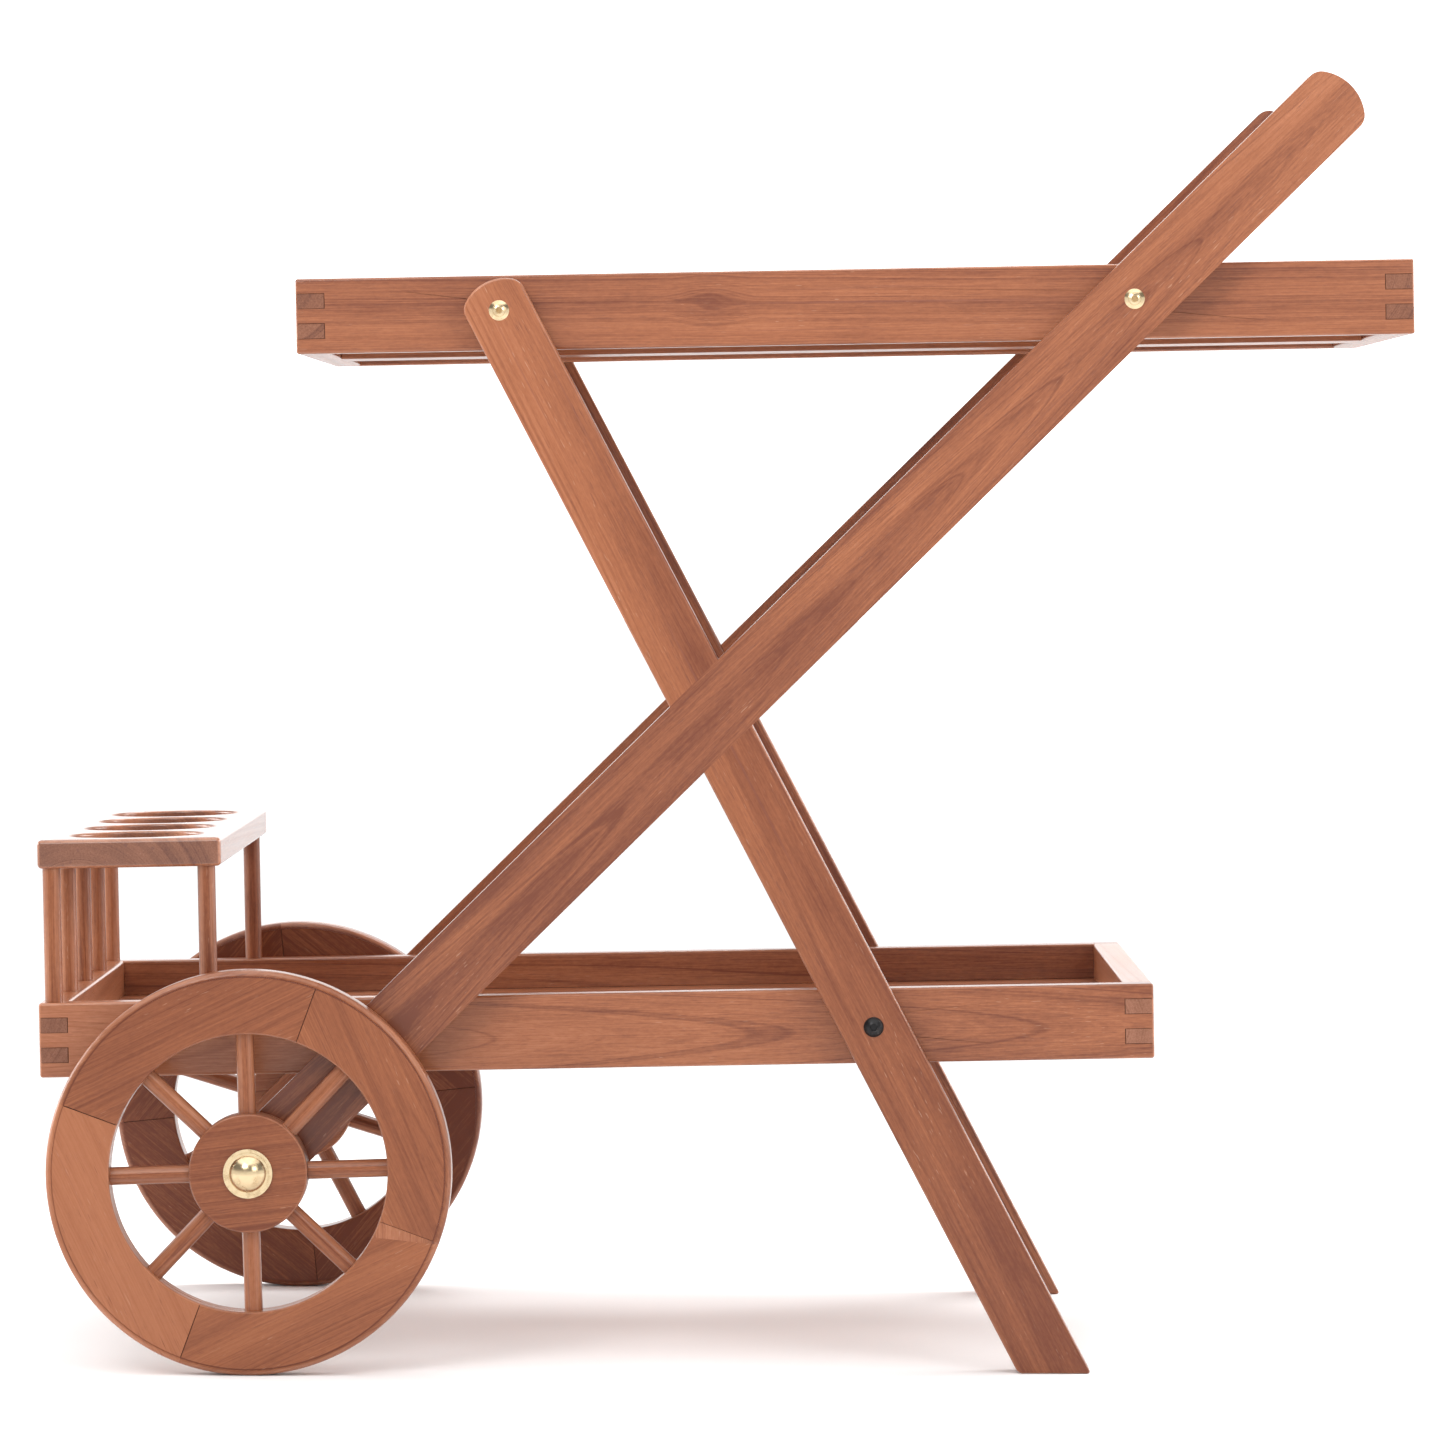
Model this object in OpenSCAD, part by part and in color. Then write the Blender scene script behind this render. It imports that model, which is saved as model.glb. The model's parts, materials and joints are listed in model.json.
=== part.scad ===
// Two-tier wooden serving trolley on two spoked wheels.
// The side frames are crossed bars: each handle beam runs up from the axle,
// and each leg is halved into it. Two trays hang between the side frames, and
// a bottle rack stands on dowels over the wheel end of the lower tray.
// X runs from the wheel end to the handle end, Z is up, and the origin is on
// the floor under the middle of the whole trolley.

/* [Trays] */
// Length of both trays along X
tray_l = 776; // [740:1:800]
// Width of both trays across Y
tray_w = 460; // [440:1:480]
// Height of the tray sides
rail_h = 52; // [50:1:56]
// Thickness of the tray sides and the rack board
board_t = 20; // [18:0.5:22]
// Slope of both trays, rising towards the handles, in degrees
tray_tilt = 1.25; // [1:0.05:1.5]
// Thickness of the floor panel in each tray
floor_t = 10; // [8:0.5:12]
// Height of the floor panel's underside above the tray's bottom edge
floor_up = 16; // [14:0.5:18]
// Depth of the groove that holds the floor panel
groove_depth = 5; // [4:0.5:6]
// Width of the centre board under each floor
centre_board_w = 80; // [60:1:100]

/* [Side frames] */
// Thickness of the handle beams and the legs
bar_t = 25; // [23:0.5:27]
// Width of a handle beam
beam_w = 49; // [47:0.5:51]
// Slope of the handle beams, in degrees
beam_angle = 44.8; // [44:0.1:45.6]
// Length of a handle beam from the axle to its upper end
beam_l = 1067; // [1040:1:1090]
// Length of a handle beam below the axle
beam_tail = 30; // [28:0.5:32]
// Width of a leg
leg_w = 45; // [43:0.5:47]
// Slope of the legs, in degrees
leg_angle = 62.2; // [61.8:0.1:62.6]
// Distance along the beam from the axle to the crossing
cross_up = 447.5; // [440:0.5:452]
// Distance along the leg from the crossing up to the upper tray's bolt
leg_up = 316; // [312:0.5:320]
// Distance along the leg from the crossing down to the lower tray's bolt
leg_down = 243; // [240:0.5:246]
// Length of a leg beyond its upper bolt
leg_head = 21.5; // [20:0.5:23]
// Radius of the small corners at the ends of the beams and legs
corner_r = 11; // [9:0.5:12]

/* [Tray positions] */
// Distance from the upper tray's wheel end to the leg bolt
upper_bolt_u = 142; // [136:1:150]
// Distance from the lower tray's wheel end to the leg bolt
lower_bolt_u = 580.5; // [574:0.5:588]

/* [Wheels] */
// Diameter of a wheel
wheel_d = 280; // [276:1:284]
// Thickness of the rim and the hub
wheel_t = 25; // [23:0.5:27]
// Radial width of the rim
rim_w = 44; // [38:0.5:46]
// Diameter of the hub
hub_d = 82; // [76:1:88]
// Diameter of a spoke
spoke_d = 12.5; // [11:0.5:14]
// Depth of the spoke sockets in the hub and the rim
socket_depth = 11; // [9:0.5:12]
// Radius of the rounded outer edge of the rim
rim_round = 4.5; // [3:0.5:5]
// Depth of the step where the rounded edge starts
rim_step = 0.7; // [0.4:0.1:1]
// Angle of the first spoke of the near wheel, in degrees
near_turn = 2; // [0:1:8]
// Angle of the first spoke of the far wheel, in degrees
far_turn = 28; // [24:1:34]
// Angle of the first rim joint ahead of the first spoke, in degrees
joint_lead = 68; // [65:1:70]
// Space between a handle beam and its wheel
wheel_gap = 6; // [5:0.5:8]

/* [Axle] */
// Diameter of the axle
axle_d = 12; // [11:0.5:13]
// Radial running clearance between the axle and a hub
run_fit = 0.05; // [0.02:0.01:0.09]
// Diameter of the axle cap's flange
cap_flange_d = 34; // [32:0.5:36]
// Diameter of the axle cap's dome
cap_dome_d = 25.5; // [24:0.5:27]

/* [Bottle rack] */
// Length of the rack board along X
rack_l = 128; // [124:1:132]
// Clear height between the tray's edge and the rack board
rack_up = 93.5; // [88:0.5:98]
// Diameter of a bottle hole
hole_d = 95; // [88:0.5:96]
// Distance between bottle holes
hole_pitch = 108.5; // [107:0.5:110]
// Diameter of a rack post
post_d = 12.5; // [11:0.5:14]
// Depth of the post sockets
post_socket = 12; // [10:0.5:14]

/* [Fasteners] */
// Diameter of the bolts' shanks
bolt_d = 8; // [7:0.5:9]
// Diameter of the bolts' heads
bolt_head_d = 14; // [13:0.5:15]
// Height of the lower tray's domed bolt heads
dome_head_h = 4.4; // [4:0.1:5]
// Height of the upper tray's flatter bolt heads
flat_head_h = 2.8; // [2.6:0.1:3.2]
// Outer diameter of the threaded inserts in the tray sides
insert_d = 12; // [11:0.5:13]

/* [Hidden] */
$fn = 96;

eps = 0.01;
// Wheels
wheel_r = wheel_d / 2;
rim_in_r = wheel_r - rim_w;
hub_r = hub_d / 2;
hub_bore_r = axle_d / 2 + run_fit;
spoke_count = 8;
felloe_count = 4;
felloe_sweep = 360 / felloe_count;
wheel_in_y = tray_w / 2 + bar_t + wheel_gap;
wheel_out_y = wheel_in_y + wheel_t;
inner_edge_r = 1.5;
// One joint of the near wheel's rim is filled by a wedge that tapers outwards
wedge_sweep = 7;
wedge_tip = 0.8;
wedge_joint = 3;

// Axle, washers and caps
play = 0.3;
washer_d = 30;
cap_flange_t = 2.2;
cap_step_d = 29;
cap_step_t = 1;
cap_dome_h = 6.5;
cap_socket = 5;
axle_half_l = wheel_out_y + play + cap_socket;

// Fasteners
bolt_hole_d = bolt_d + 0.6;
insert_l = board_t - groove_depth - 1;
bolt_grip = insert_l - 2;
insert_bore_d = bolt_d + 0.1;
hex_across_flats = 5;
hex_depth = 2.4;

// Lines of the side frames, measured from the axle
cross_x = cross_up * cos(beam_angle);
cross_z = wheel_r + cross_up * sin(beam_angle);
upper_leg_bolt = [cross_x - leg_up * cos(leg_angle), cross_z + leg_up * sin(leg_angle)];
lower_leg_bolt = [cross_x + leg_down * cos(leg_angle), cross_z - leg_down * sin(leg_angle)];
leg_foot_l = cross_z / sin(leg_angle);

// Wheel-end bottom corner of each tray, measured from the axle
bolt_v = rail_h / 2 + 1;
upper_corner = tray_corner(upper_leg_bolt, upper_bolt_u);
lower_corner = tray_corner(lower_leg_bolt, lower_bolt_u);
// Where the handle beams cross the bolt line of each tray
upper_beam_u = beam_crossing(upper_corner);
lower_beam_u = beam_crossing(lower_corner);

// Height of one finger of the trays' corner joints
finger_h = rail_h / 5;

// Bottle rack, in the lower tray's own directions
rack_inset = 1;
rack_v = rail_h + rack_up;
outer_post_u = board_t / 2;
inner_post_u = rack_l - 10;
post_y = tray_w / 2 - board_t / 2;
post_pitch = post_y / 2;
outer_posts = 5;

// The axle's place puts the origin under the middle of the whole length, from
// the rack board's outer edge to the upper tray's handle end
left_x = lower_corner[0] + rack_inset * cos(tray_tilt) - (rack_v + board_t) * sin(tray_tilt);
right_x = upper_corner[0] + tray_l * cos(tray_tilt);
axle_x = -(left_x + right_x) / 2;

// Colours
wood = [0.68, 0.40, 0.30];
pale_wood = [0.74, 0.47, 0.36];
dark_wood = [0.56, 0.31, 0.23];
brass = [0.80, 0.66, 0.38];
blackened = [0.12, 0.12, 0.13];
steel = [0.55, 0.56, 0.58];

// A bar of width w ends in one broad arc between two corner arcs. The line
// through their centres rises 3 in 4, and this is its unit, kept to whole
// hundredths so that the arcs meet exactly.
function end_unit(w) = round(100 * (w / 2 - corner_r) / 3) / 100;
function end_corner_r(w) = w / 2 - 3 * end_unit(w);
function end_arc_r(w) = end_corner_r(w) + 5 * end_unit(w);
function end_corner_x(w) = 4 * end_unit(w) - end_arc_r(w);

// Bottom corner of a tray whose side holds a bolt at distance u
function tray_corner(bolt, u) = [
    bolt[0] - u * cos(tray_tilt) + bolt_v * sin(tray_tilt),
    bolt[1] - u * sin(tray_tilt) - bolt_v * cos(tray_tilt)];

// Distance along a tray at which its bolt line meets the handle beams
function beam_crossing(corner) =
    let (x = corner[0] - bolt_v * sin(tray_tilt),
         z = corner[1] + bolt_v * cos(tray_tilt) - wheel_r)
    (x * tan(beam_angle) - z) / (sin(tray_tilt) - cos(tray_tilt) * tan(beam_angle));

// ---- Placing ----

// Children drawn in a tray's own directions: X along, Y across, Z up
module in_tray(corner) {
    translate([axle_x + corner[0], 0, corner[1]])
        rotate([0, -tray_tilt, 0])
            children();
}

// An outline drawn in the X-Z plane, made solid between two distances from
// the middle of the trolley on its near side
module near_plate(from_y, to_y) {
    translate([axle_x, -from_y, 0])
        rotate([90, 0, 0])
            linear_extrude(to_y - from_y)
                children();
}

// Children copied to the far side
module far_side() {
    mirror([0, 1, 0])
        children();
}

// A cylinder across the trolley between two distances on the near side
module near_rod(d, from_y, to_y) {
    translate([0, -from_y, 0])
        rotate([90, 0, 0])
            cylinder(d = d, h = to_y - from_y);
}

// ---- Outlines ----

// A bar's blunt end: its tip is at x = 0 and the bar lies at negative x
module blunt_end(w) {
    unit = end_unit(w);
    for (side = [-1, 1])
        translate([end_corner_x(w), side * 3 * unit])
            circle(r = end_corner_r(w));
    translate([-end_arc_r(w), 0])
        intersection() {
            circle(r = end_arc_r(w));
            polygon([[0, 0], [8 * unit, 6 * unit], [8 * unit, -6 * unit]]);
        }
}

// A bar of width w between x0 and x1, with a blunt end at each end
module bar(x0, x1, w) {
    corner_x = end_corner_x(w);
    translate([x0 - corner_x, -w / 2])
        square([x1 - x0 + 2 * corner_x, w]);
    translate([x1, 0])
        blunt_end(w);
    translate([x0, 0])
        mirror([1, 0])
            blunt_end(w);
}

module beam_outline() {
    translate([0, wheel_r])
        rotate(beam_angle)
            bar(-beam_tail, beam_l, beam_w);
}

module beam_strip() {
    translate([0, wheel_r])
        rotate(beam_angle)
            translate([0, -beam_w / 2])
                square([2 * cross_up, beam_w]);
}

// The leg runs down past the floor and is cut level with it
module leg_outline() {
    below_floor = 60;
    intersection() {
        translate([cross_x, cross_z])
            rotate(180 - leg_angle)
                bar(-ceil(leg_foot_l) - below_floor, leg_up + leg_head, leg_w);
        square([cross_x + leg_foot_l, cross_z + leg_up + leg_w]);
    }
}

module leg_strip() {
    translate([cross_x, cross_z])
        rotate(180 - leg_angle)
            translate([-leg_down / 2, -leg_w / 2])
                square([(leg_down + leg_up) / 2, leg_w]);
}

// ---- Side frames ----

// Bolt holes of the handle beams and legs, in the X-Z plane
module tray_bolt_circles(corner, u_list, d) {
    translate(corner)
        rotate(tray_tilt)
            for (u = u_list)
                translate([u, bolt_v])
                    circle(d = d);
}

module beam() {
    difference() {
        near_plate(tray_w / 2, tray_w / 2 + bar_t)
            beam_outline();
        near_plate(tray_w / 2 - 1, tray_w / 2 + bar_t / 2)
            leg_strip();
        near_plate(tray_w / 2 - 1, tray_w / 2 + bar_t + 1) {
            translate([0, wheel_r])
                circle(d = axle_d);
            tray_bolt_circles(upper_corner, [upper_beam_u], bolt_hole_d);
            tray_bolt_circles(lower_corner, [lower_beam_u], bolt_hole_d);
        }
    }
}

module leg() {
    difference() {
        near_plate(tray_w / 2, tray_w / 2 + bar_t)
            leg_outline();
        near_plate(tray_w / 2 + bar_t / 2, tray_w / 2 + bar_t + 1)
            beam_strip();
        near_plate(tray_w / 2 - 1, tray_w / 2 + bar_t + 1) {
            tray_bolt_circles(upper_corner, [upper_bolt_u], bolt_hole_d);
            tray_bolt_circles(lower_corner, [lower_bolt_u], bolt_hole_d);
        }
    }
}

module near_beam() {
    color(wood)
        beam();
}

module far_beam() {
    color(wood)
        far_side()
            beam();
}

module near_leg() {
    color(pale_wood)
        leg();
}

module far_leg() {
    color(pale_wood)
        far_side()
            leg();
}

// ---- Trays, in their own directions ----

// The two fingers of an end board that pass through the near long side
module end_fingers() {
    for (v = [finger_h, 3 * finger_h])
        translate([-1, -tray_w / 2 - 1, v])
            cube([board_t + 1, board_t + 2, finger_h]);
}

// The three fingers of the near long side that pass through an end board
module side_fingers() {
    for (band = [[-1, finger_h], [2 * finger_h, 3 * finger_h], [4 * finger_h, rail_h + 1]])
        translate([-1, -tray_w / 2 - 1, band[0]])
            cube([board_t + 2, board_t + 1, band[1] - band[0]]);
}

module floor_panel() {
    inset = board_t - groove_depth;
    translate([inset, -tray_w / 2 + inset, floor_up])
        cube([tray_l - 2 * inset, tray_w - 2 * inset, floor_t]);
}

module insert_holes(u_list) {
    for (u = u_list)
        translate([u, 0, bolt_v])
            near_rod(insert_d, tray_w / 2 - insert_l, tray_w / 2 + 1);
}

// The near long side of a tray, with its bolts at the given distances
module side_rail(bolt_u) {
    difference() {
        translate([0, -tray_w / 2, 0])
            cube([tray_l, board_t, rail_h]);
        end_fingers();
        translate([tray_l, 0, 0])
            mirror([1, 0, 0])
                end_fingers();
        floor_panel();
        insert_holes(bolt_u);
    }
}

// The wheel end of a tray
module end_board() {
    difference() {
        translate([0, -tray_w / 2, 0])
            cube([board_t, tray_w, rail_h]);
        side_fingers();
        far_side()
            side_fingers();
        floor_panel();
    }
}

module centre_board() {
    translate([board_t, -centre_board_w / 2, 0])
        cube([tray_l - 2 * board_t, centre_board_w, floor_up]);
}

module upper_near_rail() {
    color(wood)
        in_tray(upper_corner)
            side_rail([upper_bolt_u, upper_beam_u]);
}

module upper_far_rail() {
    color(wood)
        in_tray(upper_corner)
            far_side()
                side_rail([upper_bolt_u, upper_beam_u]);
}

module upper_wheel_end() {
    color(dark_wood)
        in_tray(upper_corner)
            end_board();
}

module upper_handle_end() {
    color(dark_wood)
        in_tray(upper_corner)
            translate([tray_l, 0, 0])
                mirror([1, 0, 0])
                    end_board();
}

module upper_floor() {
    color(pale_wood)
        in_tray(upper_corner)
            floor_panel();
}

module upper_centre_board() {
    color(dark_wood)
        in_tray(upper_corner)
            centre_board();
}

module lower_rail() {
    difference() {
        side_rail([lower_beam_u, lower_bolt_u]);
        for (u = [outer_post_u, inner_post_u])
            post_socket_at(u, -post_y);
    }
}

module lower_near_rail() {
    color(wood)
        in_tray(lower_corner)
            lower_rail();
}

module lower_far_rail() {
    color(wood)
        in_tray(lower_corner)
            far_side()
                lower_rail();
}

module lower_wheel_end() {
    color(dark_wood)
        in_tray(lower_corner)
            difference() {
                end_board();
                for (i = [1 : outer_posts])
                    post_socket_at(outer_post_u, outer_post_y(i));
            }
}

module lower_handle_end() {
    color(dark_wood)
        in_tray(lower_corner)
            translate([tray_l, 0, 0])
                mirror([1, 0, 0])
                    end_board();
}

module lower_floor() {
    color(pale_wood)
        in_tray(lower_corner)
            floor_panel();
}

module lower_centre_board() {
    color(dark_wood)
        in_tray(lower_corner)
            centre_board();
}

// ---- Bottle rack ----

// Place across the trolley of outer post i, counted from the near side
function outer_post_y(i) = (i - (outer_posts + 1) / 2) * post_pitch;

// Distance along and place across of rack post i: five outer, two inner
function post_place(i) = i <= outer_posts
    ? [outer_post_u, outer_post_y(i)]
    : [inner_post_u, (i == outer_posts + 1 ? -1 : 1) * post_y];

module post_socket_at(u, y) {
    translate([u, y, rail_h - post_socket])
        cylinder(d = post_d, h = post_socket + 1);
}

module rack_post(i) {
    place = post_place(i);
    color(wood)
        in_tray(lower_corner)
            translate([place[0], place[1], rail_h - post_socket])
                cylinder(d = post_d, h = rack_up + 2 * post_socket);
}

module rack_board() {
    color(wood)
        in_tray(lower_corner)
            difference() {
                translate([rack_inset, -tray_w / 2, rack_v])
                    cube([rack_l, tray_w, board_t]);
                for (i = [-1.5 : 1 : 1.5])
                    translate([rack_inset + rack_l / 2, i * hole_pitch, rack_v - 1])
                        cylinder(d = hole_d, h = board_t + 2);
                for (i = [1 : outer_posts + 2])
                    translate([post_place(i)[0], post_place(i)[1], rack_v - 1])
                        cylinder(d = post_d, h = post_socket + 1);
            }
}

// ---- Wheels, drawn flat: the hub's inner face lies at z = 0 ----

// The rim's section, from its inner edge out to its tread
module rim_section() {
    round_x = wheel_r - rim_round;
    round_y = rim_step + rim_round;
    translate([rim_in_r, inner_edge_r])
        square([round_x - rim_in_r, wheel_t - 2 * inner_edge_r]);
    translate([rim_in_r + inner_edge_r, 0])
        square([round_x - rim_in_r - inner_edge_r, wheel_t]);
    translate([round_x - eps, round_y])
        square([rim_round + eps, wheel_t - 2 * round_y]);
    for (y = [inner_edge_r, wheel_t - inner_edge_r])
        translate([rim_in_r + inner_edge_r, y])
            circle(r = inner_edge_r);
    for (y = [round_y, wheel_t - round_y])
        translate([round_x, y])
            circle(r = rim_round);
}

// A flat wedge between two angles, out past the rim
module sector(a0, a1) {
    far_r = 2 * wheel_r;
    translate([0, 0, -1])
        linear_extrude(wheel_t + 2)
            polygon([[0, 0],
                     far_r * [cos(a0), sin(a0)],
                     far_r * [cos((a0 + a1) / 2), sin((a0 + a1) / 2)],
                     far_r * [cos(a1), sin(a1)]]);
}

// The space of the closing wedge, ending at angle a1
module wedge_space(a1) {
    tip_a = a1 - wedge_tip / wheel_r * 180 / PI;
    base_a = a1 - wedge_sweep;
    inner = [rim_in_r * cos(base_a), rim_in_r * sin(base_a)];
    outer = [wheel_r * cos(tip_a), wheel_r * sin(tip_a)];
    stretch = 0.3;
    translate([0, 0, -1])
        linear_extrude(wheel_t + 2)
            polygon([inner + stretch * (inner - outer),
                     outer + stretch * (outer - inner),
                     (1 + stretch) * wheel_r * [cos(a1), sin(a1)],
                     (1 - stretch) * rim_in_r * [cos(a1), sin(a1)]]);
}

module spoke_rod(i) {
    rotate([0, 0, i * 360 / spoke_count])
        translate([hub_r - socket_depth, 0, wheel_t / 2])
            rotate([0, 90, 0])
                cylinder(d = spoke_d, h = rim_in_r - hub_r + 2 * socket_depth);
}

// Felloe i, where has_wedge says that a wedge fills one of the rim's joints
module felloe(i, has_wedge) {
    a0 = joint_lead + (i - 1) * felloe_sweep;
    difference() {
        intersection() {
            rotate_extrude()
                rim_section();
            sector(a0, a0 + felloe_sweep);
        }
        for (s = [0 : spoke_count - 1])
            spoke_rod(s);
        if (has_wedge && i == wedge_joint)
            wedge_space(a0 + felloe_sweep);
    }
}

module rim_wedge() {
    a1 = joint_lead + wedge_joint * felloe_sweep;
    intersection() {
        rotate_extrude()
            rim_section();
        sector(a1 - felloe_sweep / 2, a1);
        wedge_space(a1);
    }
}

module hub() {
    difference() {
        cylinder(r = hub_r, h = wheel_t);
        translate([0, 0, -1])
            cylinder(r = hub_bore_r, h = wheel_t + 2);
        for (s = [0 : spoke_count - 1])
            spoke_rod(s);
    }
}

// The near wheel is turned by near_turn, seen from its own outer side
module near_wheel_place() {
    translate([axle_x, -wheel_in_y, wheel_r])
        rotate([90, 0, 0])
            rotate([0, 0, near_turn])
                children();
}

// The far wheel is the near wheel carried over and turned by far_turn
module far_wheel_place() {
    translate([axle_x, wheel_out_y, wheel_r])
        rotate([90, 0, 0])
            rotate([0, 0, far_turn])
                children();
}

module near_felloe(i) {
    color(wood)
        near_wheel_place()
            felloe(i, true);
}

module far_felloe(i) {
    color(wood)
        far_wheel_place()
            felloe(i, false);
}

module near_spoke(i) {
    color(dark_wood)
        near_wheel_place()
            spoke_rod(i - 1);
}

module far_spoke(i) {
    color(dark_wood)
        far_wheel_place()
            spoke_rod(i - 1);
}

module near_hub() {
    color(wood)
        near_wheel_place()
            hub();
}

module far_hub() {
    color(wood)
        far_wheel_place()
            hub();
}

module near_rim_wedge() {
    color(dark_wood)
        near_wheel_place()
            rim_wedge();
}

// ---- Axle ----

module axle() {
    color(steel)
        translate([axle_x, 0, wheel_r])
            near_rod(axle_d, -axle_half_l, axle_half_l);
}

module hub_washer() {
    translate([axle_x, 0, wheel_r])
        difference() {
            near_rod(washer_d, tray_w / 2 + bar_t, wheel_in_y - play);
            near_rod(axle_d, tray_w / 2, wheel_in_y);
        }
}

module hub_washers() {
    color(brass) {
        hub_washer();
        far_side()
            hub_washer();
    }
}

// A turned cap on the end of the axle: flange, step and low dome
module axle_cap() {
    cap_y = wheel_out_y + play;
    dome_y = cap_y + cap_flange_t + cap_step_t;
    dome_r = (pow(cap_dome_d / 2, 2) + pow(cap_dome_h, 2)) / (2 * cap_dome_h);
    translate([axle_x, 0, wheel_r])
        difference() {
            union() {
                near_rod(cap_flange_d, cap_y, cap_y + cap_flange_t);
                near_rod(cap_step_d, cap_y, dome_y);
                intersection() {
                    translate([0, -dome_y - cap_dome_h + dome_r, 0])
                        sphere(r = dome_r);
                    near_rod(cap_dome_d, dome_y - eps, dome_y + cap_dome_h);
                }
            }
            near_rod(axle_d, cap_y - 1, cap_y + cap_socket);
        }
}

module near_axle_cap() {
    color(brass)
        axle_cap();
}

module far_axle_cap() {
    color(brass)
        far_side()
            axle_cap();
}

// ---- Fasteners, drawn on the near side of a tray at distance u ----

module side_bolt(u, head_h) {
    face_y = tray_w / 2 + bar_t;
    head_r = (pow(bolt_head_d / 2, 2) + pow(head_h, 2)) / (2 * head_h);
    translate([u, 0, bolt_v])
        difference() {
            union() {
                near_rod(bolt_d, tray_w / 2 - bolt_grip, face_y);
                intersection() {
                    translate([0, -face_y - head_h + head_r, 0])
                        sphere(r = head_r);
                    near_rod(bolt_head_d, face_y, face_y + head_h);
                }
            }
            translate([0, -face_y - head_h + hex_depth, 0])
                rotate([90, 0, 0])
                    cylinder(d = hex_across_flats / cos(30), h = head_h, $fn = 6);
        }
}

module insert(u) {
    translate([u, 0, bolt_v])
        difference() {
            near_rod(insert_d, tray_w / 2 - insert_l, tray_w / 2);
            near_rod(insert_bore_d, tray_w / 2 - insert_l - 1, tray_w / 2 + 1);
        }
}

// Children on both sides
module both_sides() {
    children();
    far_side()
        children();
}

// The upper tray's bolts
module brass_bolts() {
    color(brass)
        in_tray(upper_corner)
            both_sides()
                for (u = [upper_bolt_u, upper_beam_u])
                    side_bolt(u, flat_head_h);
}

// The lower tray's bolts
module black_bolts() {
    color(blackened)
        in_tray(lower_corner)
            both_sides()
                for (u = [lower_beam_u, lower_bolt_u])
                    side_bolt(u, dome_head_h);
}

module tray_inserts() {
    color(brass) {
        in_tray(upper_corner)
            both_sides()
                for (u = [upper_bolt_u, upper_beam_u])
                    insert(u);
        in_tray(lower_corner)
            both_sides()
                for (u = [lower_beam_u, lower_bolt_u])
                    insert(u);
    }
}

near_beam();
far_beam();
near_leg();
far_leg();
upper_near_rail();
upper_far_rail();
upper_wheel_end();
upper_handle_end();
upper_floor();
upper_centre_board();
lower_near_rail();
lower_far_rail();
lower_wheel_end();
lower_handle_end();
lower_floor();
lower_centre_board();
rack_board();
for (i = [1 : 7]) rack_post(i);
for (i = [1 : 4]) near_felloe(i);
for (i = [1 : 8]) near_spoke(i);
for (i = [1 : 4]) far_felloe(i);
for (i = [1 : 8]) far_spoke(i);
near_hub();
far_hub();
near_rim_wedge();
axle();
hub_washers();
near_axle_cap();
far_axle_cap();
brass_bolts();
black_bolts();
tray_inserts();
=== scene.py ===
"""Looks for a two-tier wooden serving trolley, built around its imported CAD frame.

The wooden CAD parts keep their own meshes. Modifiers give them sanded edges:
fine chamfers where parts meet, and round edges cut by hidden envelopes that
have the shape of a whole tray, bar or wheel. Each piece of wood has its own
grain, which runs through the solid along the piece.
"""

import json
import math
import random
import re

import bmesh
import bpy
from mathutils import Matrix, Vector


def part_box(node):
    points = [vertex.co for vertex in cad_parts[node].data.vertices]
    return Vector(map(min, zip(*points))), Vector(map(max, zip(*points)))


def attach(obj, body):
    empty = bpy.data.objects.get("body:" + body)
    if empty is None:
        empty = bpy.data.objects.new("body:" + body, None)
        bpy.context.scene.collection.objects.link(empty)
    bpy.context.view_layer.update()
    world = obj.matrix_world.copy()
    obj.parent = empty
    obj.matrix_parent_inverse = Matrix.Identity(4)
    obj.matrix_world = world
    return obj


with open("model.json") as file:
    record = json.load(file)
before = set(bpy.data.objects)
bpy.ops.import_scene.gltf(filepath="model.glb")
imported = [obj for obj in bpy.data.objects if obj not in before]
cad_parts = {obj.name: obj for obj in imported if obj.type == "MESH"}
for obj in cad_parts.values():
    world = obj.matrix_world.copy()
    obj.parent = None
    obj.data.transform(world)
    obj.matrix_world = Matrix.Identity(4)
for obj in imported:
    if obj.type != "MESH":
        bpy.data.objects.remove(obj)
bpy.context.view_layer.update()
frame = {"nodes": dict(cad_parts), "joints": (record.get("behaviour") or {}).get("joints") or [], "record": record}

NODES = frame["nodes"]
RECORD = frame["record"]
MOUNTS = {m["name"]: m for m in RECORD["mounts"]}
JOINTS = {j["name"]: j for j in frame["joints"]}
SIDES = ("near", "far")

# Sizes in metres, angles in radians. The wheels stand on the floor, so their radius is
# the height of their centre
WHEEL_R = JOINTS["near_wheel_spin"]["pos_m"][2]
RIM_ROUND = 0.0045
BOLT_RECESS_R = 0.0022
BAR_CORNER_R = 0.011
SANDED_R = 0.0018
RACK_CORNER_R = 0.0032
FOOT_CORNER_R = 0.0035
TRAY_CHAMFER = 0.00025
FELLOE_CHAMFER = 0.00035
CENTRE_BOARD_CHAMFER = 0.0008
CORNER_ANGLE = math.radians(50)
SMOOTH_ANGLE = math.radians(32)
WELD_GAP = 0.000002
LATHE_STEPS = 160
# An envelope stands this much proud of the flat faces that it leaves alone
CLEAR = 0.000006

X_AXIS = Vector((1, 0, 0))
Y_AXIS = Vector((0, 1, 0))
Z_AXIS = Vector((0, 0, 1))


# ---- Reading the frame ----

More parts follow.
